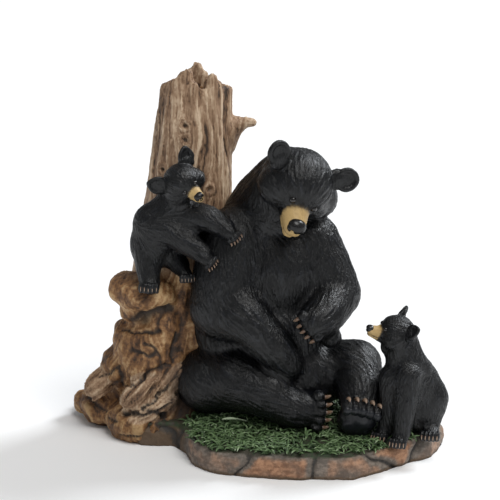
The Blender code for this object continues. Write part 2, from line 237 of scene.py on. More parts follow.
def softNoise(points, size, seed):   # smooth random numbers from 0 to 1
    cells = 48   # grains until it repeats
    table = np.random.default_rng(seed).random((cells,) * 3)
    at = points / size
    base = np.floor(at).astype(int)
    part = at - base
    part = part * part * (3 - 2 * part)
    total = np.zeros(len(points))
    for x, y, z in np.ndindex(2, 2, 2):
        share = np.abs(1 - x - part[:, 0]) * np.abs(1 - y - part[:, 1]) * np.abs(1 - z - part[:, 2])
        total += share * table[tuple(((base + (x, y, z)) % cells).T)]
    return total


def wander(points, size, seed, reach):   # from -reach / 2 to reach / 2
    return (softNoise(points, size, seed) - 0.5) * reach


def jostled(points, size, seed, reach):   # each coordinate wanders by itself
    return points + np.stack([wander(points, size, seed + axis, reach) for axis in range(3)], axis=1)


# Noise from -1 to 1, drawn out along the flow.
def strands(points, normals, flow, grid, grain, reach, seed):
    steps = max(4, round(reach / (0.9 * grain)))
    total = softNoise(points, grain, seed)
    for sign in (1, -1):
        at, index = points.copy(), np.arange(len(points))
        heading = sign * flow
        for step in range(steps):
            at = at + reach / steps * heading
            found = grid.near(at)
            index = np.where(found >= 0, found, index)
            away = ((at - points[index]) * normals[index]).sum(axis=1)
            at = at - away[:, None] * normals[index]
            turned = flow[index]
            against = (turned * heading).sum(axis=1) < 0
            heading = np.where(against[:, None], -turned, turned)
            total += softNoise(at, grain, seed)
    total -= total.mean()
    return np.clip(total / (2 * total.std()), -1, 1)


def boneGuides(matrix, stations, scale):   # the grain runs along a limb
    for start, end in pairwise(stations):
        ends = [np.array(matrix @ Vector(station[:3])) for station in (start, end)]
        yield "bone", ends, scale * (start[3] + end[3]) / 2, None


def flowAlong(points, normals, guides, seed, swirl, swirlSize):
    total = np.zeros_like(points)
    for kind, place, size, heading in guides:
        if kind == "bone":
            a, b = place
            along = b - a
            share = np.clip((points - a) @ along / max(along @ along, 1e-12), 0, 1)
            away = lengths(points - (a + share[:, None] * along)) - size
            reach = 0.25 * size + 1 * mm
            way = along / max(np.sqrt(along @ along), 1e-9)
        else:   # a mass has one heading, and a source sends the grain away from it
            away = (lengths(inFrame(points, place)) - 1) * size
            reach = 0.3 * size + 1 * mm
            way = levelled(points - heading) if kind == "source" else heading
        total += np.exp(-(np.maximum(away, 0) / reach) ** 2)[:, None] * way
    total += 1e-4 * np.array((0.1, 0.1, -1))   # downwards where nothing else guides it
    total -= (total * normals).sum(axis=1)[:, None] * normals
    return levelled(swung(total, normals, wander(points, swirlSize, seed, 2 * swirl)[:, None]))


# Paint: sockets that can be added and multiplied in plain expressions.

def maths(operation):   # an operator and its reflected form
    def made(wire, *pair):
        return wire.paint.node("Math", {"operation": operation}, dict(enumerate(pair)))
    return lambda wire, other: made(wire, wire, other), lambda wire, other: made(wire, other, wire)


class Wire:
    __add__, __radd__ = maths("ADD")
    __sub__, __rsub__ = maths("SUBTRACT")
    __mul__, __rmul__ = maths("MULTIPLY")

    def __init__(self, paint, socket):
        self.paint, self.socket = paint, socket

    def above(self, low, high):   # 0 under low, 1 over high
        return self.paint.node("MapRange", {"interpolation_type": "SMOOTHSTEP"},
                               {"Value": self, "From Min": low, "From Max": high})


class Paint:
    def __init__(self, name, **fixed):
        self.material = bpy.data.materials.new(name)
        self.material.use_nodes = True
        self.tree = self.material.node_tree
        self.shader = self.tree.nodes["Principled BSDF"]
        for socket, value in fixed.items():
            self.shader.inputs[socket.replace("_", " ")].default_value = value
        self.place = self.node("TexCoord", output="Object")

    def node(self, kind, settings=None, values=None, output=0):
        made = self.tree.nodes.new("ShaderNode" + kind)
        for key, value in (settings or {}).items():
            if key == "stops":
                while len(made.color_ramp.elements) < len(value):
                    made.color_ramp.elements.new(0.5)
                for element, (spot, colour) in zip(made.color_ramp.elements, value):
                    element.position, element.color = spot, (*colour, 1)
            else:
                setattr(made, key, value)
        for key, value in (values or {}).items():
            self.feed(made.inputs[key], value)
        return Wire(self, made.outputs[output])

    def feed(self, socket, value):
        if isinstance(value, Wire):
            self.tree.links.new(value.socket, socket)
        else:
            socket.default_value = value

    def read(self, *names):
        found = [self.node("Attribute", {"attribute_name": name}, output="Fac") for name in names]
        return found if len(found) > 1 else found[0]

    def noise(self, size, detail=3.0, stretch=(1, 1, 1), turn=(0, 0, 0)):
        spot = self.node("Mapping", {}, {"Vector": self.place, "Scale": stretch, "Rotation": turn})
        return self.node("TexNoise", {}, {"Vector": spot, "Scale": 1 / size, "Detail": detail,
                                          "Roughness": 0.55})

    def mix(self, share, first, second, blend="MIX"):
        first, second = [(*v, 1) if isinstance(v, tuple) else v for v in (first, second)]
        made = self.tree.nodes.new("ShaderNodeMix")
        made.data_type, made.blend_type = "RGBA", blend
        for socket, value in ((0, share), (6, first), (7, second)):
            self.feed(made.inputs[socket], value)
        return Wire(self, made.outputs[2])

    def ramp(self, value, *stops):
        return self.node("ValToRGB", {"stops": stops}, {"Fac": value})

    def finish(self, colour, roughness, height=None, depth=0.0):
        self.feed(self.shader.inputs["Base Color"], colour)
        self.feed(self.shader.inputs["Roughness"], roughness)
        if height is not None:
            bump = self.node("Bump", {}, {"Height": height, "Distance": depth}, "Normal")
            self.feed(self.shader.inputs["Normal"], bump)
        return self.material


# The finishes.

furPaint = {   # from the grooves to the ridges, and then sizes of patterns
    # the ridges' lighter, bluish tint is partly the fur's own paint and partly a painted bluish sheen;
    # the soles are grey-blue pads darkened as painted shade
    "fur": ((0.0022, 0.0024, 0.0028), (0.0100, 0.0112, 0.0145)), "sole": (0.009, 0.010, 0.013),
    "tan": ((0.24, 0.145, 0.055), (0.60, 0.42, 0.18)), "mouth": (0.006, 0.005, 0.005),
    "patch": 16 * mm, "fleck": 1.2 * mm, "strand": 0.8 * mm, "depth": 0.8 * mm,
}


def makeFurPaint():
    paint = Paint("satinBlackFur", Specular_IOR_Level=0.38)
    groove, tan, dark, sole = paint.read("groove", "tan", "dark", "sole")
    patch, fleck = paint.noise(furPaint["patch"]), paint.noise(furPaint["fleck"], 2.0)
    # dark grooves and lighter, bluish ridges: partly the paint, partly a painted bluish sheen
    fur = paint.mix(groove.above(0.05, 0.95) * (0.45 + 0.75 * patch), *furPaint["fur"])
    pale = paint.mix(groove.above(-0.9, 0.5) * 0.6 + fleck * 0.4, *furPaint["tan"])
    # the soles: grey-blue pad paint, darkened as painted shade
    colour = paint.mix(sole, paint.mix(tan, fur, pale), furPaint["sole"])
    colour = paint.mix(dark, colour, furPaint["mouth"])
    roughness = 0.25 + 0.22 * groove.above(0.3, -0.8) + 0.08 * patch + 0.20 * tan
    strand = 0.0
    for turn, weight in (((0, 0, 0), "flowZ"), ((0, 90, 0), "flowX"), ((90, 0, 0), "flowY")):
        grain = paint.noise(furPaint["strand"], 2.0, stretch=(1, 1, 0.16), turn=angled(turn))
        strand = strand + grain * paint.read(weight)
    height = strand * (1 - 0.7 * tan) * (1 - 0.6 * sole)
    return paint.finish(colour, roughness, height, furPaint["depth"])


glossPaint = {   # colour, its mottle, roughness, weight of the clear coat
    "nose": ((0.004, 0.004, 0.004), (0.010, 0.009, 0.009), 0.22, 0.1),
    "eye": ((0.003, 0.0025, 0.0025), (0.010, 0.005, 0.003), 0.06, 0.6),
}


def makeGloss(kind):
    colour, second, roughness, coat = glossPaint[kind]
    paint = Paint(kind + "Gloss", Coat_Weight=coat, Coat_Roughness=0.08, Specular_IOR_Level=0.35)
    mottle = paint.noise(1.2 * mm)
    tint = paint.mix(mottle.above(0.42, 0.62), colour, second)
    return paint.finish(tint, roughness + 0.08 * mottle, paint.noise(0.5 * mm, 2.0), 0.08 * mm)


clawPaint = [   # along the claw, from its root to its tip
    (0.0, (0.030, 0.018, 0.012)), (0.35, (0.150, 0.085, 0.052)), (0.8, (0.40, 0.29, 0.21)),
    (1.0, (0.26, 0.17, 0.12)),
]


def makeClawPaint():
    paint = Paint("clawHorn", Coat_Weight=0.35, Coat_Roughness=0.2)
    tint = paint.ramp(paint.read("reach") + 0.15 * (paint.noise(1.5 * mm) - 0.5), *clawPaint)
    return paint.finish(tint, 0.30 + 0.1 * paint.noise(1 * mm), paint.noise(0.6 * mm), 0.1 * mm)


woodPaint = {   # along the trunk and on the burls, from the cracks up
    "trunk": [(0.06, (0.040, 0.022, 0.012)), (0.28, (0.190, 0.105, 0.055)),
              (0.55, (0.335, 0.215, 0.128)), (0.90, (0.600, 0.450, 0.310))],
    "burl": [(0.08, (0.040, 0.022, 0.012)), (0.34, (0.155, 0.072, 0.030)),
             (0.56, (0.330, 0.168, 0.068)), (0.88, (0.62, 0.42, 0.23))],
    # low multiplies the burls and roots darker towards the foot, as painted shade; dark is painted shade
    # deep in the hollow and beside the mother bear, partly painted shade in the clefts, and darker paint
    # in the knots' pits and on the old bark
    "low": (0.66, 0.62, 0.52), "dark": (0.018, 0.013, 0.010),
    "patch": 30 * mm, "fleck": 2.2 * mm, "fibre": 1.1 * mm, "depth": 0.8 * mm,
}


def makeWoodPaint():
    paint = Paint("weatheredWood")
    groove, burl, dark, low = paint.read("groove", "burl", "dark", "low")
    broad, small = paint.noise(woodPaint["patch"], 4.0), paint.noise(woodPaint["fleck"], 4.0)
    fibre = paint.noise(woodPaint["fibre"], 4.0, stretch=(1, 1, 0.10))
    streak = fibre * (1 - burl) + small * burl
    level = 0.5 + 0.48 * groove + 0.24 * (broad - 0.5) + 0.80 * (streak - 0.5)
    pale, warm = [paint.ramp(level, *woodPaint[part]) for part in ("trunk", "burl")]
    colour = paint.mix((burl + 0.5 * (broad - 0.5)).above(0.2, 0.8), pale, warm)
    # painted shade: darker towards the foot, then the dark marks, painted shade in the hollow, beside
    # the bear and partly in the clefts
    colour = paint.mix(low, colour, woodPaint["low"], "MULTIPLY")
    colour = paint.mix(dark, colour, woodPaint["dark"])
    return paint.finish(colour, 0.56 + 0.2 * small, 0.7 * streak + 0.3 * small, woodPaint["depth"])


rockPaint = {   # dark and light
    "red": ((0.200, 0.092, 0.046), (0.42, 0.225, 0.125)),
    "grey": ((0.105, 0.086, 0.070), (0.23, 0.19, 0.155)),
    "ground": ((0.036, 0.030, 0.018), (0.022, 0.040, 0.014)),
    "seam": (0.030, 0.027, 0.024), "foot": (0.095, 0.058, 0.030),
    "patch": 12 * mm, "fleck": 2.2 * mm, "depth": 0.8 * mm,
}


def makeRockPaint():
    paint = Paint("paintedRock")
    seam, red, top, foot = paint.read("seam", "red", "top", "foot")
    broad, small = paint.noise(rockPaint["patch"], 4.0), paint.noise(rockPaint["fleck"], 5.0)
    streak = paint.noise(rockPaint["fleck"], 4.0, stretch=(0.35, 0.35, 1.0))
    level = 0.5 * small + 0.5 * streak + 0.5 * (broad - 0.5)
    warm = paint.mix(level.above(0.36, 0.66), *rockPaint["red"])
    grey = paint.mix(level.above(0.38, 0.68), *rockPaint["grey"])
    rock = paint.mix((red + 0.9 * (broad - 0.5)).above(0.2, 0.75), grey, warm)
    rock = paint.mix((foot + 0.6 * (broad - 0.5)).above(0.3, 0.9), rock, rockPaint["foot"])
    rock = paint.mix((seam + 0.9 * (small - 0.5)).above(0.15, 0.95), rock, rockPaint["seam"])
    ground = paint.mix((broad + small).above(0.85, 1.15), *rockPaint["ground"])
    return paint.finish(paint.mix(top, rock, ground), 0.58 + 0.2 * small, small, rockPaint["depth"])


grassPaint = [   # from the root of a dark blade to the tip of a pale one
    (0.08, (0.008, 0.018, 0.006)), (0.42, (0.052, 0.100, 0.030)), (0.75, (0.17, 0.26, 0.115)),
    (1.0, (0.42, 0.50, 0.34)),
]


def makeGrassPaint():
    paint = Paint("paintedGrass")
    shade, reach = paint.read("shade", "reach")
    tint = paint.ramp(0.55 * reach + 0.45 * shade + 0.2 * (paint.noise(2 * mm) - 0.5), *grassPaint)
    return paint.finish(tint, 0.5 + 0.15 * shade, paint.noise(0.8 * mm), 0.2 * mm)


furFinish = makeFurPaint()
noseFinish, eyeFinish = makeGloss("nose"), makeGloss("eye")
clawFinish = makeClawPaint()
woodFinish = makeWoodPaint()
rockFinish = makeRockPaint()
grassFinish = makeGrassPaint()
print("finishes made")


def piece(name, mesh, finish):
    mesh.materials.clear()
    mesh.materials.append(finish)
    mesh.shade_smooth()
    obj = linked(name, mesh)
    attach(obj, "root")
    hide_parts(nodeName)
    print(name, len(mesh.polygons), "faces")


# The bears, in hundredths of each one's height. A mass is a centre and radii, a limb is a chain of
# x, y, z and radius, and a paw is a place, where its toes point, where its back faces, length, width
# and height. A head is a place, where it looks, where its crown points and half its width, and then,
# in that unit, the muzzle's length, the nose's height, the snout's radius, the ears' size and taper.

motherBear = {
    "name": "mother", "height": 0.187, "place": (0.9 * mm, 0, 20.2 * mm), "voxel": 0.56 * mm,
    "triangles": 192000, "grain": 0.62 * mm, "relief": 0.40 * mm, "seed": 11,
    "noseSize": 1.0, "clawSizes": (1.0, 1.0, 1.0, 1.0), "eyeSize": 0.105,
    "masses": [
        ((1.5, 3.5, 11), (19, 17, 16)), ((7, 0.5, 28), (18, 17.5, 20)), ((7.5, 0.5, 48), (17, 16.5, 20)),
        ((0.5, 4.5, 60), (14.5, 15, 15)), ((-16, -2, 11), (13, 15, 12)), ((-9.5, 2, 30), (13.5, 14, 18)),
        ((21.7, -4, 76), (5.3, 6, 6.8)), ((24.9, -13, 29), (3.8, 4, 3.8)), ((18, -8, 13), (10, 9, 13)),
    ],
    "limbs": [
        [(-0.5, 5, 61, 14.3), (4, 3.7, 70, 13.9), (10, -1.2, 79.2, 12.6)],
        [(-17, 1, 10, 13), (-7, -10, 13, 11), (3, -17, 11, 9), (11, -19.5, 5.5, 6.5)],
        [(12, 2, 9, 12), (25, -4, 14.5, 10.4), (33.7, -8, 17.5, 9.1), (35, -19, 10.5, 7.8),
         (35, -24, 5, 6)],
        [(-8, -3, 61, 11.5), (-11, -7.5, 48, 11.6), (-13, -9.5, 38.5, 10.5), (-3, -16.3, 35.8, 7.9),
         (5.5, -18.5, 27, 6.6), (10, -16.5, 20.5, 5.4)],
        [(-9, -8.5, 50, 9.5), (-8, -12.5, 43.5, 7.6), (-3, -16.5, 37.2, 7.2)],
        [(18.4, -1, 60.8, 9.2), (22.9, -3, 51, 9.2), (26.6, -5.5, 42.6, 8.7), (23, -14.5, 38.5, 7.2),
         (20, -18, 36.5, 6.6)],
    ],
    "head": ((14.1, -12.0, 83.0), (0.0, -0.77, -0.63), (0.58, -0.54, 0.61),
             11.4, 0.58, -0.19, 0.33, 0.38, 0.10),
    "ears": [   # place, where its cup opens, where its tip points, in units of half the head's width
        ((-1.29, 0.14, 0.70), (0.10, -0.75, 0.65), (-0.55, 0.1, 0.85)),
        ((1.12, 0.12, 0.80), (-0.10, -0.75, 0.65), (0.90, 0.1, 0.45)),
    ],
    "paws": [
        ((15.0, -17.5, 5.4), (1, -0.12, -0.05), (0, -1, 0.1), 15, 13, 7),
        ((33.4, -28, 2.6), (0.28, -0.38, 0.88), (0, 0.92, 0.40), 14, 13.2, 8),
        ((19.9, -17.5, 36.7), (-0.83, -0.25, -0.55), (0, -1, 0.2), 9, 11, 6),
        ((10, -12.5, 18.5), (0.55, 0.2, -0.8), (0, -1, 0.2), 9, 9, 6),
    ],
}
cubSizes = {
    "height": 0.090, "voxel": 0.42 * mm, "triangles": 110000, "grain": 0.48 * mm, "relief": 0.26 * mm,
    "eyeSize": 0.135,
}
climbingCub = {
    **cubSizes, "name": "climbingCub", "place": (-67.4 * mm, -18.3 * mm, 104 * mm), "seed": 23,
    "noseSize": 0.9, "clawSizes": (0.5, 0.5, 1.0, 1.0),
    "masses": [
        ((0.5, 11, 31), (15.5, 14, 19)), ((4.8, 9, 46), (17.5, 14.5, 17)), ((22, 12, 42), (14, 12, 17)),
    ],
    "limbs": [
        [(2, 11, 31, 15), (7, 9, 47, 15.5), (15.8, 8.9, 60, 13)],
        [(-2.1, 6.7, 27.4, 10.5), (-1.3, 2.2, 14.1, 8.8), (0, -2, 5, 7.6)],
        [(12.4, 14.4, 23.8, 10), (21.1, 6.7, 16.4, 7.2), (22.7, 2.2, 14.1, 5.5)],
        [(11, 3, 45, 11), (26, -4, 36.8, 9.2), (37.4, -9.5, 30, 7.2)],
        [(24, 7, 54, 11.5), (41, -1, 53, 9.6), (53.4, -8.5, 47.6, 7.4)],
    ],
    "head": ((23, 2, 78.5), (0.57, -0.77, -0.27), (-0.42, -0.56, 0.71),
             13.4, 0.46, -0.23, 0.31, 0.48, 0.42),
    "ears": [
        ((-1.12, 0.52, 0.74), (-0.25, -0.85, 0.30), (-0.6, 0.25, 0.8)),
        ((1.12, 0.52, 0.74), (0.25, -0.85, 0.30), (0.6, 0.25, 0.8)),
    ],
    "paws": [
        ((0, -5, 2), (-0.1, -1, 0), (0, 0, 1), 14.5, 13.5, 8),
        ((25, -1, 9), (0.3, -1, -0.2), (0, 0, 1), 12, 11, 7),
        ((39, -13, 25.8), (0.8, -0.3, -0.6), (0.3, -1, 0.6), 12, 11, 7),
        ((55.5, -11.5, 44.6), (0.7, -0.3, -0.7), (0.3, -1, 0.6), 12, 12, 7),
    ],
}
sittingCub = {
    **cubSizes, "name": "sittingCub", "place": (101.1 * mm, -35.1 * mm, 16 * mm), "seed": 37,
    "noseSize": 0.8, "clawSizes": (0.7, 0.7, 0.7),
    "masses": [
        ((1.5, 2.5, 20), (21, 19.5, 20)), ((-4, -3, 37), (19, 17, 22)),
        ((11.5, -3.5, 25), (11.5, 11, 16)), ((-20.5, -9.5, 65.5), (6.5, 6, 6)),
    ],
    "limbs": [
        [(-1, 0, 34, 19), (-8, -7.8, 54, 14), (-12, -8, 68, 12.5)],
        [(-7, -18.9, 48, 10), (-9, -23.3, 28, 8.4), (-11.1, -25.6, 8, 6.6)],
        [(-17.5, -12.2, 44, 10), (-19, -14.4, 24.5, 8), (-21.3, -14.4, 7, 6.4)],
        [(11, -3.5, 10, 8), (9, -10, 4, 6)],
    ],
    "head": ((-15, -7.8, 76.1), (-0.92, -0.22, 0.33), (0.38, -0.12, 0.92),
             12.8, 0.62, -0.20, 0.27, 0.44, 0.42),
    "ears": [
        ((-1.08, 0.35, 0.76), (-0.25, -0.85, 0.30), (-0.6, 0.25, 0.8)),
        ((1.08, 0.45, 0.74), (0.25, -0.85, 0.30), (0.6, 0.25, 0.8)),
    ],
    "paws": [
        ((-13, -29, 0), (-0.35, -1, 0), (0, 0, 1), 14, 12, 7.5),
        ((-24, -17, 0), (-0.6, -1, 0), (0, 0, 1), 14, 12, 7.5),
        ((10, -14, 0), (-0.2, -1, 0), (0, 0, 1), 16, 13, 7.5),
    ],
}
faceMarks = {   # in units of half the head's width
    "eye": (0.40, 0.13), "socket": (0.17, 0.05), "tanStart": (0.90, 1.02), "mouth": -0.54,
    "nostrils": ((0.125, -0.11), (0.180, -0.09)), "nostril": (0.055, 0.06),
    "noseVoxel": 0.28 / 21.3,
}
toeCount = 5


def skull(form):
    ball(form, (0, 0.05, 0), (1.0, 1.05, 0.94))
    ball(form, (0, -0.36, 0.20), (0.70, 0.58, 0.50))
    ball(form, (0, 0.45, -0.30), (0.98, 0.85, 0.85))
    for side in (-1, 1):
        ball(form, (0.60 * side, -0.12, -0.34), (0.60, 0.66, 0.56))


def muzzleAndEars(form, muzzle, snout, earSize, taper, ears):
    tip = -0.75 - muzzle
    limb(form, [(0, -0.70, -0.22, 0.46), (0, (tip - 0.70) / 2, -0.29, 0.06 + snout),
                (0, tip, -0.175 - snout / 2, snout)])
    limb(form, [(0, -0.65, -0.52, 0.34), (0, tip - 0.02, -0.15 - 1.3 * snout, 0.64 * snout)])
    for place, opening, up in ears:
        placed(form, facing(place, opening, up, earSize), ear, taper)


def ear(form, taper):
    ball(form, (0, 0.12, 0), (0.92, 0.22, 0.92))
    ball(form, (0, 0.16, -0.75), (0.80, 0.42, 0.80))
    turns = [radians(-40 + 260 * i / 14) for i in range(15)]
    limb(form, [(0.78 * cos(a), -0.02, 0.78 * sin(a), 0.22) for a in turns])
    for mesh in form:
        points = corners(mesh)
        points[:, 0] *= 1 - taper * points[:, 2]
        moveCorners(mesh, points)


def toeLayout(length, width):   # how far across and forward each toe is, and its radius
    for i in range(toeCount):
        across = (i / (toeCount - 1) - 0.5) * 0.82
        yield across * width, -0.44 * length * (1 - 0.9 * across * across), width / toeCount * 0.70


def pad(form, length, width, height):
    ball(form, (0, length * 0.05, height * 0.5), (width / 2, length * 0.53, height * 0.55))


def paw(form, length, width, height):
    for across, reach, toe in toeLayout(length, width):
        ball(form, (across, reach, height * 0.45), (toe, toe * 1.3, height * 0.45))
        ball(form, (across, reach * 1.02, height * 0.06), (toe * 0.8, toe, height * 0.16))
    ball(form, (0, length * 0.10, height * 0.06), (width * 0.38, length * 0.26, height * 0.16))


def bodyForm(form, bear):
    for centre, radii in bear["masses"]:
        ball(form, centre, radii)
    for stations in bear["limbs"]:
        limb(form, stations)
    for place, toes, back, *sizes in bear["paws"]:
        placed(form, facing(place, toes, back), pad, *sizes)


def claws(bear, body):
    made = []
    for (place, toes, back, length, width, height), long in zip(bear["paws"], bear["clawSizes"]):
        turn = body @ facing(place, toes, back)
        for across, reach, toe in toeLayout(length, width):
            start = Vector((across, reach - toe * 0.75, height * 0.52))
            knee = Vector((across, reach - toe * (0.75 + 1.00 * long), height * 0.58))
            end = Vector((across * 1.02, reach - toe * (0.75 + 1.45 * long), height * 0.12))
            mesh = bentCone(12, 6, bow(start, knee, end),
                            lambda t: toe * long * (0.42 * (1 - t) ** 0.5 + 0.06))
            mesh.transform(turn)
            made.append(mesh)
    return joined(made)


def nose(form, tip, height, size):
    ball(form, (0, tip - 0.11, height), (0.29 * size, 0.25, 0.22 * size))
    ball(form, (0, tip - 0.19, height - 0.19 * size), (0.17 * size, 0.13, 0.15 * size))
    for side in (-1, 1):
        ball(form, (0.155 * size * side, tip - 0.16, height - 0.07), (0.13 * size, 0.17, 0.13 * size))


def pressed(points, normals, place, size, depth):   # a round dent, soft at its edge
    off = points - np.array(place)
    share = np.exp(-((off * off).sum(axis=1)) / size ** 2)
    return points - normals * (depth * share)[:, None]


def bearGuides(bear, body, head):
    guides = []
    for stations in bear["limbs"]:
        guides += boneGuides(body, stations, body.median_scale)
    for centre, radii in bear["masses"]:
        size = body.median_scale * min(radii)
        guides.append(("mass", body @ oval(centre, radii), size, np.array((0.05, 0.1, -1))))
    noseTip = np.array(head @ Vector((0, -1.9, 0.1)))
    for centre, radii in (((0, 0.05, 0), (1, 1.05, 0.94)), ((0, -1.0, -0.3), (0.5, 0.8, 0.5))):
        size = head.median_scale * min(radii)
        guides += [("source", head @ oval(centre, radii), size, noseTip)] * 2   # counts double
    return guides


def muzzleMarks(local, tip):   # where the tan paint and the line of the mouth are
    side, ahead, up = local[:, 0], -local[:, 1], local[:, 2]
    tan = ease(ahead - 0.22 * np.maximum(up + 0.05, 0), *faceMarks["tanStart"])
    tan *= ease(np.hypot(side, up + 0.30), 0.68, 0.58)
    tan *= ease(ahead, tip + 0.70, tip + 0.50)
    line = np.abs(up - (faceMarks["mouth"] + 0.10 * (ahead - 1.1) ** 2))
    return tan, ease(line, 0.045, 0.0) * ease(ahead, 0.86, 1.0) * tan


def soleMarks(points, bear, body):
    sole = np.zeros(len(points))
    for place, toes, back, length, width, height in bear["paws"]:
        under = inFrame(points, body @ facing(place, toes, back))
        inside = ease(under[:, 2] / height, 0.22, 0.08) * (under[:, 2] > -0.4 * height)
        inside *= ease(np.abs(under[:, 0]) / width, 0.52, 0.46)
        inside *= ease(np.abs(under[:, 1]) / length, 0.62, 0.56)
        sole = np.maximum(sole, inside)
    return sole


def earMarks(local, bear, size):
    onEar = np.zeros(len(local))
    for place, *_ in bear["ears"]:
        onEar = np.maximum(onEar, ease(lengths(local - np.array(place)) / size, 1.35, 1.0))
    return onEar


def makeNose(bear, head, tip, height):
    unit = head.median_scale
    form = []
    placed(form, head, nose, -tip, height, bear["noseSize"])
    mesh = fused(form, faceMarks["noseVoxel"] * unit * coarser, 4)
    points, normals = skin(mesh)
    size, depth = faceMarks["nostril"]
    for side in (-1, 1):
        for across, up in faceMarks["nostrils"]:
            spot = head @ Vector((across * side, -tip - 0.34, height + up))
            points = pressed(points, normals, spot, size * unit, depth * unit)
    low = inFrame(points, head)
    cleft = np.exp(-(low[:, 0] / 0.025) ** 2) * ease(low[:, 2] - height, -0.09, -0.17)
    moveCorners(mesh, points - normals * (0.04 * unit * cleft)[:, None])
    piece(bear["name"] + "Nose", mesh, noseFinish)


def makeEyes(bear, radius, spots):
    made = []
    for place, normal in spots:
        form = []
        ball(form, place - normal * radius * 0.62, (radius,) * 3)
        ball(form, place - normal * radius * 0.50, (radius * 0.72,) * 3)
        made.append(fused(form, radius / 7, 3))
    piece(bear["name"] + "Eyes", joined(made), eyeFinish)


def makeBear(bear):
    body = Matrix.Translation(bear["place"]) @ Matrix.Scale(bear["height"] / 100, 4)
    place, look, crown, size, muzzle, noseHeight, snout, earSize, taper = bear["head"]
    head = body @ facing(place, look, crown, size)
    unit = head.median_scale
    voxel = bear["voxel"] * coarser

    form = []
    placed(form, body, bodyForm, bear)
    placed(form, head, skull)
    carved = [fused(form, 1.5 * mm, 14)]
    placed(carved, head, muzzleAndEars, muzzle, snout, earSize, taper, bear["ears"])
    for place, toes, back, *sizes in bear["paws"]:
        placed(carved, body @ facing(place, toes, back), paw, *sizes)
    mesh = fused(carved, voxel, 7)

    points, normals = skin(mesh)
    local = inFrame(points, head)
    tree = treeOf(mesh)
    inward = (head.to_3x3() @ Vector((0, 1, 0))).normalized()
    across, up = faceMarks["eye"]
    eyes = [tree.ray_cast(head @ Vector((across * side, -3, up)), inward)[:2] for side in (-1, 1)]
    for spot, _ in eyes:
        wide, deep = faceMarks["socket"]
        points = pressed(points, normals, spot, wide * unit, deep * unit)
    tip = 0.75 + muzzle
    tan, mouth = muzzleMarks(local, tip)
    points -= normals * (0.04 * unit * mouth)[:, None]
    sole = soleMarks(points, bear, body)

    grid = SurfaceGrid(points, voxel)
    flow = flowAlong(points, normals, bearGuides(bear, body, head), bear["seed"], 0.55, 9 * mm)
    grain, seed = bear["grain"], bear["seed"]
    fine = strands(points, normals, flow, grid, grain * coarser, 5 * grain, seed + 1)
    broad = strands(points, normals, flow, grid, 2.6 * grain, 7 * grain, seed + 2)
    calm = 1 - 0.75 * tan - 0.7 * sole - 0.65 * earMarks(local, bear, earSize)
    groove = (0.85 * fine + 0.40 * broad) * calm
    points = points + normals * (bear["relief"] * groove)[:, None]
    thin, index = finished(mesh, points, bear["triangles"], grid)
    share = flow[index] ** 2
    store(thin, groove=groove[index], tan=tan[index], dark=mouth[index], sole=sole[index],
          flowX=share[:, 0], flowY=share[:, 1], flowZ=share[:, 2])
    piece(bear["name"] + "Fur", thin, furFinish)
    makeNose(bear, head, tip, noseHeight)
    makeEyes(bear, bear["eyeSize"] * unit, eyes)
    piece(bear["name"] + "Claws", claws(bear, body), clawFinish)
    return thin


# The tree stump.

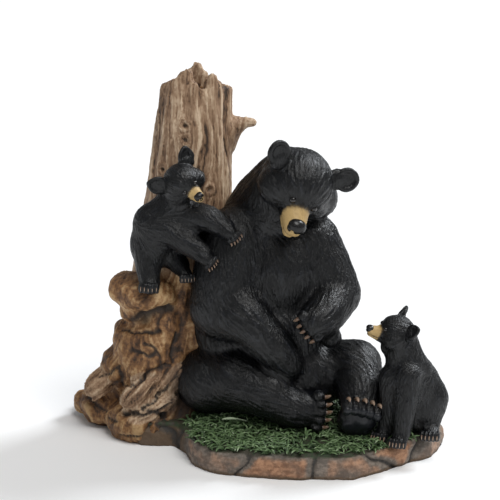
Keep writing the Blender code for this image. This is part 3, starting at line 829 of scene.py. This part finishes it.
stump = {
    "foot": (-57.4 * mm, 25.8 * mm, 0.0), "height": 0.246, "topRadius": 0.0238, "footRadius": 0.042,
    "wall": 0.011, "hollow": 0.034, "lean": 0.0176, "ledge": 0.100,
    "voxel": 0.72 * mm, "triangles": 192000, "cut": 0.3 * mm, "hollowWidth": 15.5 * mm,
    "tops": [   # one ridge of wood each, from +X round by the back; every second one lies deeper
        0.924, 0.915, 0.922, 0.915, 0.925, 0.927, 0.950, 0.970, 0.957, 0.942, 0.940, 0.930, 0.930, 0.918,
        0.925, 0.918, 0.925, 0.932, 0.941, 0.948, 0.956, 0.962, 0.978, 0.983, 0.952, 0.930, 0.910, 0.970,
        0.950, 0.935, 0.931, 0.924],
    "branch": [(-0.22, 0.28, 0.766), (-0.15, 0.36, 0.806), (0.08, 0.25, 0.820), (0.32, 0.15, 0.827),
               (0.54, 0.11, 0.826)],
    "burls": [   # in hundredths of the ledge's height, as the roots and the slabs are
        ((-13, -24, 97), (22, 25, 12), (0, 6, 0)), ((-26, -24, 99.5), (12.3, 16, 10.4), (0, 10, 0)),
        ((-20, -25, 86), (11, 15, 9), (0, -30, 0)), ((-1, -20, 80), (14, 20, 26), (0, 0, 0)),
        ((-9, -17, 55), (27, 27, 29), (0, 0, 0)), ((-25.5, -18, 66.5), (10.5, 14, 11), (0, 0, 0)),
        ((-28.5, -14, 43), (16.5, 18, 15), (0, 20, 0)), ((-55.5, 8, 11.5), (9, 11, 7), (0, 0, 0)),
        ((-42, -2, 12), (18, 18, 14), (0, 0, 0)), ((-14, -24, 10), (27, 24, 18), (0, 0, 0)),
        ((8, -18, 14), (20, 22, 20), (0, 0, 0)),
    ],
    "roots": [
        [(-18, -8, 44, 18), (-40, -2, 20.5, 11), (-58, 7, 10, 6.4)],
        [(10, 10, 20, 24), (34, 22, 6, 12), (58, 28, -2, 8)], [(-20, 16, 16, 22), (-44, 30, 4, 12)],
    ],
    "slabs": [
        ((-43.5, -18, 34.5), (14, 8, 8), (20, -34, 20)), ((-16, -39, 34), (16, 7, 10), (14, -34, 8)),
        ((4, -38, 41), (15, 6, 6), (14, -46, -6)), ((-7, -42, 25), (15, 6, 6), (24, -26, 4)),
    ],
    "gashes": [   # dark clefts as seen from the front, whose dark is partly painted shade: half width, depth, path
        (4.8, 3.0, [(-80, -46), (-67, -41), (-55, -38)]),
        (1.6, 2.0, [(-51, -54), (-52, -65), (-54, -72)]),
        (1.6, 1.8, [(-86, -51), (-73, -54), (-63, -52)]),
        (1.8, 2.0, [(-80, -64), (-71, -69), (-65, -64)]),
        (1.8, 2.2, [(-102, -83), (-89, -77), (-86, -90)]),
        (1.8, 2.4, [(-86, -90), (-70, -80), (-58, -74)]),
        (1.8, 2.4, [(-73, -102), (-62, -90), (-52, -83)]),
        (1.6, 2.0, [(-112, -96), (-103, -104), (-92, -112)]),
        (2.2, 2.6, [(-86, -106), (-73, -107), (-58, -102), (-54, -96)]),
        (1.6, 2.0, [(-89, -120), (-73, -121), (-68, -113)]),
        (2.4, 1.8, [(-69, -103), (-60, -107), (-64, -114)]),
        (1.4, 1.6, [(-71, -60), (-62, -66), (-60, -76)]),
    ],
    "knots": [   # turn round the trunk in degrees from +X, height, radius in mm
        (-99, 0.207, 3.0), (-97, 0.198, 2.6), (-62, 0.165, 2.4), (-128, 0.178, 2.6), (-20, 0.150, 3.2),
        (60, 0.190, 3.4), (95, 0.135, 3.6), (150, 0.170, 3.0), (20, 0.110, 3.4), (118, 0.085, 3.2),
    ],
}


def stumpAxis(share):   # share of the height, from the foot up
    lean = stump["lean"] * share * (1.6 - 0.6 * share)
    return Vector((lean, 0, stump["height"] * share))


def stumpRadius(share):
    return stump["topRadius"] + (stump["footRadius"] - stump["topRadius"]) * (1 - share) ** 1.2


def stave(form, index):   # one ridge of the trunk's wall
    top = stump["tops"][index]
    angle = 2 * pi * (index + 0.2 * sin(5.1 * index)) / len(stump["tops"])
    stations = []
    for step in range(10):
        share = top * step / 9
        turn = angle + 0.05 * sin(1.3 * index + 6 * share) + 0.2 * (share - 0.5)
        thick = stump["wall"] / 2 * (1.12 + 0.15 * sin(1.9 * index + 4 * share))
        thick *= 1 + 0.5 * (1 - share) ** 2
        if step == 9:
            thick *= 0.55
        knot = 0.05 * sin(2 * turn + 7 * share)
        reach = stumpRadius(share) * (1 + knot + 0.03 * sin(1.9 * index)) - thick
        reach -= stump["wall"] * 0.07 * (index % 2)
        if share > 0.82:   # the old bark has come off the trunk's left there
            reach += stump["wall"] * 0.28 * min(0, cos(turn))
        middle = stumpAxis(share) + Vector((cos(turn), sin(turn), 0)) * reach
        if step == 9:
            middle.z -= thick
        stations.append((*middle, thick))
    limb(form, stations)
    splinter = Vector(stations[-1][:3])   # the torn fibres at the top
    for i in range(3):
        bend = 2.1 * i + index
        start = splinter + Vector((cos(bend), sin(bend), -0.6)) * 2.2 * mm
        end = start + Vector((0.5 * cos(bend * 3), 0.5 * sin(bend * 2), 2.6 + sin(bend * 5))) * 1.4 * mm
        limb(form, [(*start, 1.5 * mm), (*end, 0.7 * mm)])


def trunk(form):
    roundTop = stump["topRadius"] - stump["wall"] * 0.3
    coreTop = min(stump["tops"]) - (stump["hollow"] + roundTop) / stump["height"]
    shares = [coreTop * step / 8 for step in range(9)]
    limb(form, [(*stumpAxis(s), stumpRadius(s) - stump["wall"] * 0.5) for s in shares])
    for index in range(len(stump["tops"])):
        stave(form, index)
    unit = stump["topRadius"]
    limb(form, [(*(stumpAxis(share) + Vector((stumpRadius(share) + off * unit, 0, 0))), thick * unit)
                for off, thick, share in stump["branch"]])


def burlsAndRoots(form):
    for centre, radii, turn in stump["burls"]:
        ball(form, centre, radii, turn)
    for stations in stump["roots"]:
        limb(form, stations)


def barkPlates(form):
    for centre, radii, turn in stump["slabs"]:
        ball(form, centre, radii, turn)
        for layer in (-1, 0, 1):   # thin leaves of bark lying on each slab
            shift = Vector((2.5 * layer, -0.55 * radii[1], 0.42 * radii[2] * layer))
            shift.rotate(angled(turn))
            leaf = (radii[0] * (0.92 - 0.1 * abs(layer)), radii[1] * 0.42, radii[2] * 0.30)
            ball(form, Vector(centre) + shift, leaf, (turn[0], turn[1] + 5 * layer, turn[2]))


def stumpGuides(place, ledge):
    guides = []
    for step in range(8):
        ends = [np.array(place @ stumpAxis(share)) for share in (step / 8, (step + 1) / 8)]
        guides.append(("bone", ends, stumpRadius(step / 8), None))
    for stations in stump["roots"]:
        guides += boneGuides(ledge, stations, mm)
    for kind, listed in (("burl", stump["burls"]), ("slab", stump["slabs"])):
        for number, (centre, radii, turn) in enumerate(listed):
            way = Vector((1, 0, 0)) if kind == "slab" else Vector((cos(2.3 * number), 0.4, 1.2))
            way.rotate(angled(turn))
            heading = np.array(way.normalized())
            guide = ("mass", ledge @ oval(centre, radii, turn), min(radii) * mm, heading)
            guides += [guide] * (4 if kind == "slab" else 1)   # a slab's own grain wins
    return guides


def knotMarks(points, normals, flow):   # the grain runs round each knot's pit and rim
    pit, rim = np.zeros(len(points)), np.zeros(len(points))
    for angle, level, size in stump["knots"]:
        share = level / stump["height"]
        axis = Vector(stump["foot"]) + stumpAxis(share)
        out = Vector((cos(radians(angle)), sin(radians(angle)), 0))
        off = points - np.array(axis + out * stumpRadius(share))
        off -= (off @ np.array(out))[:, None] * np.array(out)
        outside = ((points - np.array(axis)) @ np.array(out)) > 0
        far = lengths(off) / (size * mm)
        near = (outside * np.exp(-(far / 2.2) ** 2))[:, None]
        ring = levelled(np.cross(normals, off))
        ring *= np.sign((ring * flow).sum(axis=1))[:, None]
        flow = flow * (1 - near) + ring * near
        pit = np.maximum(pit, outside * ease(far, 0.70, 0.25))
        rim = np.maximum(rim, outside * np.exp(-((far - 1.25) / 0.4) ** 2))
    return levelled(flow), pit, rim


def gashMarks(mesh, points):   # how near a cleft is, and how deep it dents
    cleft, dent = np.zeros(len(points)), np.zeros(len(points))
    bent = jostled(points, 6 * mm, 64, 4 * mm)
    tree = treeOf(mesh)
    sight, up = (0, cos(viewTilt), -sin(viewTilt)), Vector((0, sin(viewTilt), cos(viewTilt)))
    for wide, deep, path in stump["gashes"]:
        away = np.full(len(points), 1.0)
        for (x0, y0), (x1, y1) in pairwise(path):
            for step in range(8):
                x, y = x0 + (x1 - x0) * step / 7, y0 + (y1 - y0) * step / 7
                start = Vector((x * mm, 0, studio["aim"][2])) + up * y * mm - Vector(sight) * 0.5
                spot = tree.ray_cast(start, Vector(sight))[0]
                if spot is not None:
                    off = bent - np.array(spot)
                    away = np.minimum(away, (off * off).sum(axis=1) - 0.9 * (off @ sight) ** 2)
        near = np.exp(-away / (0.95 * wide * mm) ** 2)
        cleft, dent = np.maximum(cleft, near), np.maximum(dent, near * deep)
    return cleft, dent


def makeStump():
    place = Matrix.Translation(stump["foot"])
    ledge = place @ Matrix.Scale(stump["ledge"] / 100, 4)
    trunkForm, burlForm, plates = [], [], []
    placed(trunkForm, place, trunk)
    placed(burlForm, ledge, burlsAndRoots)
    placed(plates, ledge, barkPlates)
    voxel, cut = stump["voxel"] * coarser, stump["cut"]
    parts = [fused(trunkForm, 1.1 * mm, 3), fused(burlForm, 1.5 * mm, 10)] + plates
    mesh = cutFlat(fused(parts, voxel, 3), cut)
    points, normals = skin(mesh)
    flat = points[:, 2] < cut + 0.05 * mm

    onPlate = np.zeros(len(points))
    for slab in stump["slabs"]:
        local = inFrame(points, ledge @ oval(*slab))
        onPlate = np.maximum(onPlate, ease((local * local).sum(axis=1), 2.4, 1.5))
    y, z = points[:, 1], points[:, 2]
    onTrunk = ease(z + 0.35 * (y - stump["foot"][1]), 0.088, 0.112)
    onTrunk = np.maximum(onTrunk, ease(y, 0.030, 0.050) * ease(z, 0.02, 0.05))
    rough = (1 - onTrunk) * (1 - onPlate)   # burls and roots
    flow = flowAlong(points, normals, stumpGuides(place, ledge), 51, 0.30, 16 * mm)
    flow = swung(flow, normals, (rough * wander(points, 13 * mm, 52, 2.4))[:, None])
    flow, pit, rim = knotMarks(points, normals, flow)
    cleft, dent = gashMarks(mesh, points)

    grid = SurfaceGrid(points, voxel)
    fine = strands(points, normals, flow, grid, 0.8 * mm * coarser, 8 * mm, 61)
    broad = strands(points, normals, flow, grid, 2.4 * mm, 16 * mm, 62)
    lump, crumb = wander(points, 7 * mm, 63, 2), wander(points, 2.6 * mm, 67, 2)
    groove = (1 - 0.35 * rough) * (0.6 * fine + 0.6 * broad) + rough * (0.25 * crumb + 0.6 * lump)
    rise = (0.30 + 0.2 * onPlate - 0.1 * rough) * fine + (0.50 + 0.4 * onPlate - 0.15 * rough) * broad
    rise += rough * (1.5 * lump + 0.30 * crumb) + 0.7 * rim - 1.2 * pit - dent
    points = points + normals * (rise * mm * ~flat)[:, None]
    points[:, 2] = np.maximum(points[:, 2], cut)
    thin, index = finished(mesh, points, stump["triangles"], SurfaceGrid(points, voxel))

    onTrunk, onPlate, groove = onTrunk[index], onPlate[index], groove[index]
    x, y, z = corners(thin).T
    axis = Vector(stump["foot"]) + stumpAxis(0.9)
    inHollow = (np.hypot(x - axis.x, y - axis.y) < stump["hollowWidth"]) * (z > 0.185)
    # burls and roots painted darker, most towards the foot: painted shade
    low = (1 - onTrunk) * (1 - 0.9 * onPlate) * (0.6 + 0.4 * ease(z, 0.08, 0.03))
    # painted shade low on the front of the burls, next to the mother bear
    besideBearShade = ease(x, -0.062, -0.050) * ease(z, 0.058, 0.040) * (y < 0)
    bark = ease(x - axis.x, -0.014, -0.022) * ease(z, 0.178, 0.200)
    bark *= (0.6 - 0.6 * groove).clip(0, 1)
    # the dark mark: painted shade deeper in the hollow and beside the mother bear, darker knot pits and
    # old bark, and the clefts, whose dark is partly painted shade
    dark = np.maximum.reduce([inHollow * ease(z, 0.220, 0.198) * 0.8, 0.7 * pit[index],
                              0.72 * besideBearShade, 0.40 * bark, 0.95 * ease(cleft[index], 0.25, 0.9)])
    burl = np.maximum((1 - onTrunk) * (1 - 0.75 * onPlate), inHollow)
    # the hollow's inside also moves towards the dark end of the ramp, as painted shade
    store(thin, groove=groove - 0.4 * inHollow, burl=burl, dark=dark, low=low)
    piece("treeStump", thin, woodFinish)
    return thin


# The rock base.

base = {
    "width": 0.238, "depth": 0.156, "thickness": 0.016, "mound": 0.007, "shift": 0.9 * mm,
    "voxel": 0.85 * mm, "triangles": 110000, "blocks": 17, "blockRing": (0.119, 0.078), "seed": 71,
    "outline": [
        (-0.955, 0.52), (-0.87, 0.24), (-0.775, 0.16), (-0.74, -0.04), (-0.62, -0.25), (-0.45, -0.27),
        (-0.365, -0.48), (-0.325, -0.70), (-0.235, -0.85), (-0.12, -0.92), (0.18, -1.00), (0.48, -0.99),
        (0.66, -0.81), (0.79, -0.64), (0.89, -0.53), (0.955, -0.34), (0.985, -0.22), (0.91, 0.00),
        (0.88, 0.34), (0.68, 0.68), (0.36, 0.86), (0.02, 0.92), (-0.34, 1.00), (-0.72, 0.94),
        (-0.94, 0.74),
    ],
}


def slab(form):
    thick = base["thickness"]
    bm = bmesh.new()
    wide, deep = base["width"] / 2, base["depth"] / 2
    face = bm.faces.new([bm.verts.new((x * wide, y * deep, -6 * mm)) for x, y in base["outline"]])
    size = 0.97
    for height, share in ((4 * mm, 1.0), (thick * 0.75, 0.985), (thick, 0.93)):
        up = bmesh.ops.extrude_face_region(bm, geom=[face])["geom"]
        face = [f for f in up if isinstance(f, bmesh.types.BMFace)][0]
        for vert in face.verts:
            vert.co = Vector((vert.co.x * share / size, vert.co.y * share / size, height))
        size = share
    bmesh.ops.recalc_face_normals(bm, faces=bm.faces[:])
    form.append(meshFrom(bm))
    ball(form, (0.020, 0, thick * 0.4), (0.080, 0.054, thick * 0.6 + base["mound"]))


def blockMarks(points):   # the rim's stones: seams, swelling, colour and push
    random, count = np.random.default_rng(base["seed"]), base["blocks"]
    turns = np.linspace(0, 2 * pi, count, endpoint=False) + random.uniform(-0.05, 0.05, count)
    spread = random.uniform(0.84, 1.06, count)
    wide, deep = base["blockRing"]
    centres = np.stack([wide * spread * np.cos(turns) + base["shift"], deep * spread * np.sin(turns),
                        random.uniform(0.0, 0.020, count)], axis=1)
    bent = jostled(points, 9 * mm, 72, 7 * mm)
    far = np.stack([lengths((bent - centre) * (1, 1, 1.7)) for centre in centres])
    order = np.argsort(far, axis=0)[:2]
    first, second = np.take_along_axis(far, order, 0)
    seam, bulge = ease(second - first, 4.0 * mm, 0.2 * mm), ease(second - first, 0.0, 13 * mm)
    warm = random.uniform(0.35, 1.1, count)[order[0]]
    push = random.uniform(-0.4, 0.6, count)[order[0]]
    return seam, bulge, warm, push


def makeBase():
    form = []
    placed(form, Matrix.Translation((base["shift"], 0, 0)), slab)
    voxel = base["voxel"] * coarser
    mesh = cutFlat(fused([fused(form, 1.6 * mm, 4)], voxel, 2), 0.0)
    points, normals = skin(mesh)
    x, z = points[:, 0], points[:, 2]
    seam, bulge, warm, push = blockMarks(points)
    brim = base["thickness"] * 0.80 + wander(points, 14 * mm, 75, 1.5 * mm)
    onTop = ease(z, brim, brim + 1.6 * mm) * (normals[:, 2] > 0.3)
    under = z < 0.05 * mm
    red = warm * bulge * ease(z, 15.5 * mm, 10.5 * mm)
    foot = np.maximum(ease(z, 4.5 * mm, 0.5 * mm), 0.8 * ease(x, -0.036, -0.050))
    push = push * (1 - seam) - 1.5 * seam + 1.3 * bulge
    rise = push * (1 - onTop) + wander(points, 5 * mm, 76, 0.9) + wander(points, 1.6 * mm, 77, 0.5)
    points = points + normals * (rise * mm * ~under)[:, None]
    points[:, 2] = np.where(under, 0.0, np.maximum(points[:, 2], 0.0))
    thin, index = finished(mesh, points, base["triangles"], SurfaceGrid(points, voxel))
    store(thin, seam=0.85 * seam[index], red=red[index], top=onTop[index], foot=foot[index])
    piece("rockBase", thin, rockFinish)
    return thin


# Grass.

grass = {
    "blades": 3300, "tries": 40000, "length": (6.0 * mm, 10.0 * mm), "seed": 91,
    "across": (-0.115, 0.118), "deep": (-0.075, 0.075), "kinds": 10,
    "stem": [(-22, -33, 22.5), (-15, -36, 25.5), (-6, -32, 21.0)],   # a pale curled strip, in mm
}
down = Vector((0, 0, -1))


def bladePath(curl, lean, sway):
    def path(t):
        rise = 0.42 * sin(min(pi, 1.9 * curl * t) * 0.8) * (1 - 0.35 * t)
        return lean * t + 0.35 * sin(curl * t), sway * t * t * 0.5, rise
    return path


def bladeShapes(random):
    shapes = []
    for _ in range(grass["kinds"]):
        path = bladePath(random.uniform(0.6, 2.2), random.uniform(0.15, 0.7), random.uniform(-0.7, 0.7))
        shapes.append(bentCone(5, 4, path, lambda t: 0.105 * (1 - t) ** 0.6 + 0.012, 0.7))
    return shapes


def aboveAt(tree, x, y):   # what a ray from above meets there, and its normal
    return tree.ray_cast(Vector((x, y, 0.3)), down)[:2]


def covered(tree, ground):   # by a piece over that spot or within 1 mm
    top = aboveAt(tree, ground.x, ground.y)[0]
    if top is None or top.z <= ground.z:
        return False
    if top.z > ground.z + 0.5 * mm and tree.find_nearest(ground)[3] < 1.0 * mm:
        return True
    spot, normal = tree.ray_cast(ground - down * 0.2 * mm, -down)[:2]
    return spot is not None and normal.z > 0


def grows(x, y, ground, normal, low):
    if ground is None or ground.z < base["thickness"] * 0.86 or normal.z < 0.72:
        return False
    rim = aboveAt(low, x * 1.02, y * 1.035)[0]   # no blade hangs over the edge
    if rim is None or rim.z < base["thickness"] * 0.86:
        return False
    patch = sin(x * 95 + 1.3) * cos(y * 120 + 0.7) + 0.6 * sin(x * 41 - y * 63)
    return patch >= -1.15 and not (x < -0.044 and y < 0.02) and x <= 0.097


def makeGrass(ground, others):
    random = np.random.default_rng(grass["seed"])
    shapes = bladeShapes(random)
    low, trees = treeOf(ground), [treeOf(mesh) for mesh in others]
    copies, shade = [], []
    for _ in range(grass["tries"]):
        if len(copies) == grass["blades"]:
            break
        x, y = random.uniform(*grass["across"]), random.uniform(*grass["deep"])
        spot, normal = aboveAt(low, x, y)
        if not grows(x, y, spot, normal, low) or any(covered(tree, spot) for tree in trees):
            continue
        size = random.uniform(*grass["length"])
        mesh = shapes[random.integers(len(shapes))].copy()
        turn = Euler([random.uniform(*r) for r in ((-0.25, 0.25), (-0.15, 0.25), (0, 2 * pi))])
        mesh.transform(Matrix.LocRotScale(spot + down * 0.3 * mm, turn, Vector((size,) * 3)))
        copies.append(mesh)
        shade += [random.random()] * len(mesh.vertices)
    stem = bentCone(8, 14, bow(*[Vector(spot) * mm for spot in grass["stem"]]),
                    lambda t: (0.75 - 0.25 * cos(9 * t)) * mm * (1.05 - t) ** 0.3)
    stem.attributes["reach"].data.foreach_set("value", [1.0] * len(stem.vertices))
    copies.append(stem)
    shade += [1.0] * len(stem.vertices)
    mesh = joined(copies)
    store(mesh, shade=shade)
    piece("grassBlades", mesh, grassFinish)


# Floor, camera and light.

studio = {
    "floor": (0.92, 0.92, 0.92, 1), "world": (0.95, 0.97, 1, 1), "worldStrength": 0.29,
    "aim": (-0.0042, 0, 0.1256), "distance": 1.4, "lens": 157.5,
    "suns": {   # where from, strength, spread in degrees, tint
        "backRight": ((0.66, 0.42, 0.66), 2.3, 18, (0.92, 0.96, 1.0)),
        "overhead": ((0.34, -0.50, 1.0), 1.85, 38, (1.0, 0.99, 0.97)),
    },
}


def makeFloor():
    bm = bmesh.new()
    bmesh.ops.create_grid(bm, x_segments=1, y_segments=1, size=6.0)
    floor = linked("floor", meshFrom(bm))
    floor.data.materials.append(Paint("paleFloor").finish(studio["floor"], 0.9))


def addCamera():
    camera = bpy.data.cameras.new("camera")
    camera.sensor_width, camera.lens, camera.clip_start, camera.clip_end = 36, studio["lens"], 0.05, 50
    obj = linked("camera", camera)
    back = Vector((0, -cos(viewTilt), sin(viewTilt))) * studio["distance"]
    obj.location = Vector(studio["aim"]) + back
    obj.rotation_euler = (radians(90) - viewTilt, 0, 0)
    bpy.context.scene.camera = obj


def addLight():
    for name, (toward, strength, spread, tint) in studio["suns"].items():
        data = bpy.data.lights.new(name, "SUN")
        data.energy, data.angle, data.color = strength, radians(spread), tint
        linked(name, data).rotation_euler = Vector(toward).to_track_quat("Z", "Y").to_euler()
    world = bpy.data.worlds.new("studio")
    world.use_nodes = True
    background = world.node_tree.nodes["Background"]
    background.inputs["Color"].default_value = studio["world"]
    background.inputs["Strength"].default_value = studio["worldStrength"]
    bpy.context.scene.world = world
    bpy.context.scene.view_settings.view_transform = "Standard"


makeFloor()
addCamera()
addLight()
print("stage set")
motherMesh = makeBear(motherBear)
makeBear(climbingCub)
sitterMesh = makeBear(sittingCub)
stumpMesh = makeStump()
baseMesh = makeBase()
makeGrass(baseMesh, [motherMesh, stumpMesh, sitterMesh])
